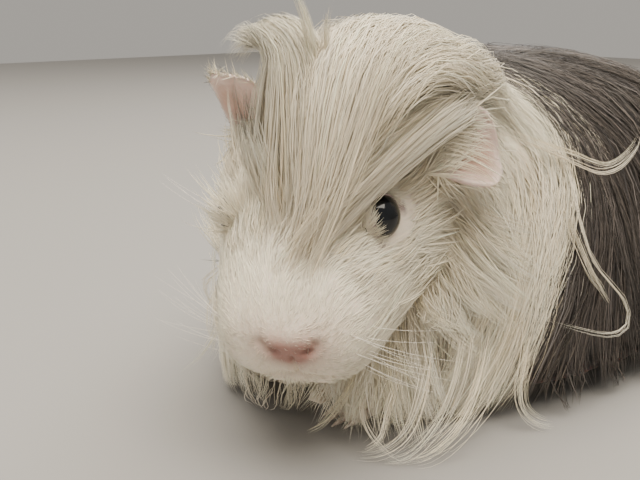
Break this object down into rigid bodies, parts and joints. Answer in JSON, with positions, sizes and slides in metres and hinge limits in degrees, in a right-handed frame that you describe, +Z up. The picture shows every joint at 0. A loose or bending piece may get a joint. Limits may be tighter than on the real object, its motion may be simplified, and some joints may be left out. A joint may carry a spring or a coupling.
{
  "type": "guinea pig",
  "caption": "Long-haired guinea pig with a white head and mane and a grey body, standing with its head turned to its left, as a still life-size model.",
  "frame": {"origin": "middle of the bounding box's footprint, on the floor under the soles", "axes": "+Z up; the body runs along Y with the head towards -Y, so +Y is towards the rump and +X is the animal's left"},
  "size_m": [0.1366, 0.2504, 0.1141],
  "materials": {
    "white_coat": "long silky cream-white hair",
    "grey_coat": "long silky grey-brown hair with silvery strands",
    "pink_skin": "bare pink skin under sparse short hair",
    "eye": "wet, nearly black",
    "claw_horn": "pale translucent horn"
  },
  "bodies": {
    "root": {"crest_left": "white_coat", "crest_right": "white_coat", "crest_wisp": "white_coat", "ear_left": "pink_skin", "ear_right": "pink_skin", "eye_left": "eye", "eye_right": "eye", "fore_leg_left": "white_coat", "fore_leg_left_claw_1": "claw_horn", "fore_leg_left_claw_2": "claw_horn", "fore_leg_left_claw_3": "claw_horn", "fore_leg_left_claw_4": "claw_horn", "fore_leg_right": "white_coat", "fore_leg_right_claw_1": "claw_horn", "fore_leg_right_claw_2": "claw_horn", "fore_leg_right_claw_3": "claw_horn", "fore_leg_right_claw_4": "claw_horn", "head": "white_coat", "hind_leg_left": "grey_coat", "hind_leg_left_claw_1": "claw_horn", "hind_leg_left_claw_2": "claw_horn", "hind_leg_left_claw_3": "claw_horn", "hind_leg_right": "grey_coat", "hind_leg_right_claw_1": "claw_horn", "hind_leg_right_claw_2": "claw_horn", "hind_leg_right_claw_3": "claw_horn", "muzzle": "white_coat", "neck_mane_left": "white_coat", "neck_mane_right": "white_coat", "nose": "pink_skin", "rump": "grey_coat", "trunk": "grey_coat"}
  },
  "joints": []
}
